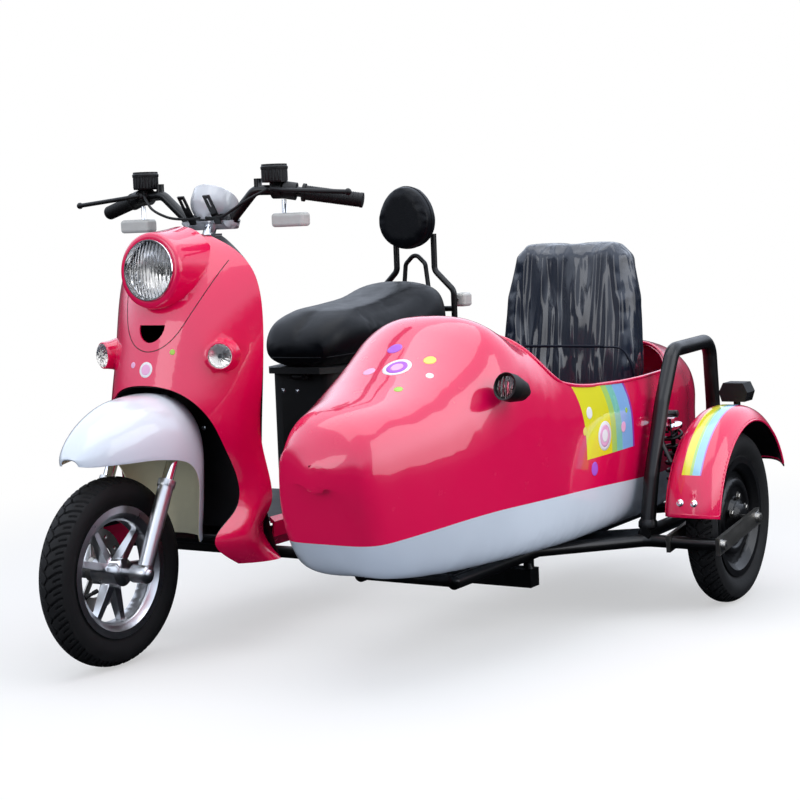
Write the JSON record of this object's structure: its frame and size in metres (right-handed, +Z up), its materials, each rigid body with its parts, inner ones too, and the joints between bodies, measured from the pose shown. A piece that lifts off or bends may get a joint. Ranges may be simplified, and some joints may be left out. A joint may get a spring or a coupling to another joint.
{
  "type": "sidecar motorcycle",
  "caption": "Small electric scooter with a rounded leg shield, boat-shaped front fender and a one-seat sidecar with hoop and fendered wheel on its left.",
  "frame": {"origin": "middle of the bounding box's underside, on the ground", "axes": "+Z up, -Y the way the vehicle faces, +X the vehicle's left, where the sidecar is"},
  "size_m": [1.4055, 1.7019, 1.0299],
  "materials": {
    "pink_paint": "gloss",
    "white_paint": "gloss",
    "black_plastic": "satin",
    "black_metal": "gloss",
    "grey_metal": "satin",
    "silver_cast": "satin",
    "chrome": "polished",
    "tyre_rubber": "matte",
    "rubber": "matte",
    "vinyl": "satin",
    "navy_vinyl": "gloss",
    "clear": "polished",
    "lamp_lens": "gloss",
    "grey_floor": "matte",
    "battery": "satin"
  },
  "bodies": {
    "chassis": {"leg_shield": "pink_paint", "shield_liner": "black_plastic", "top_cover": "silver_cast", "headlight_reflector": "chrome", "headlight_lens": "clear", "shield_lamps": "lamp_lens", "floorboard": "grey_floor", "floor_skirts": "pink_paint", "scooter_frame": "black_metal", "underseat_bucket": "black_plastic", "battery_block": "battery", "tail_cowl": "pink_paint", "rear_fender": "black_plastic", "rear_lamps": "lamp_lens", "backrest_frame": "black_metal", "backrest_pad": "vinyl", "rear_swingarm": "black_metal", "shocks": "black_metal", "sidecar_upper": "pink_paint", "sidecar_hull": "white_paint", "sidecar_cushion": "navy_vinyl", "sidecar_backrest": "navy_vinyl", "sidecar_frame": "black_metal", "sidecar_hoop": "black_metal", "sidecar_swingarm": "grey_metal", "sidecar_fender": "pink_paint", "fender_marker": "black_plastic", "sidecar_spotlight": "black_plastic", "spotlight_lens": "clear"},
    "steering": {"fork_lowers": "silver_cast", "fork_uppers": "chrome", "front_fender": "white_paint", "handlebar": "black_metal", "grips": "rubber", "hand_controls": "black_plastic", "bar_lamps": "lamp_lens", "speedometer": "chrome", "control_cables": "rubber"},
    "front_wheel": {"front_tyre": "tyre_rubber", "front_rim": "silver_cast", "brake_disc": "grey_metal"},
    "rear_wheel": {"rear_tyre": "tyre_rubber", "rear_rim": "black_metal"},
    "sidecar_wheel": {"sidecar_tyre": "tyre_rubber", "sidecar_rim": "black_metal"},
    "seat": {"seat_pad": "vinyl", "seat_pan": "black_plastic"}
  },
  "joints": [
    {"name": "steering", "type": "hinge", "parent": "chassis", "child": "steering", "pos_m": [-0.32325, -0.618, 0.197], "axis": [0, 0.4509, 0.8926], "range_deg": [-30, 30]},
    {"name": "front_wheel_spin", "type": "hinge", "parent": "steering", "child": "front_wheel", "pos_m": [-0.32325, -0.654, 0.197], "axis": [1, 0, 0], "continuous": true},
    {"name": "rear_wheel_spin", "type": "hinge", "parent": "chassis", "child": "rear_wheel", "pos_m": [-0.32325, 0.526, 0.197], "axis": [1, 0, 0], "continuous": true},
    {"name": "sidecar_wheel_spin", "type": "hinge", "parent": "chassis", "child": "sidecar_wheel", "pos_m": [0.62675, 0.389, 0.197], "axis": [1, 0, 0], "continuous": true},
    {"name": "seat_hinge", "type": "hinge", "parent": "chassis", "child": "seat", "pos_m": [-0.32325, 0.052, 0.538], "axis": [1, 0, 0], "range_deg": [0, 70]}
  ]
}
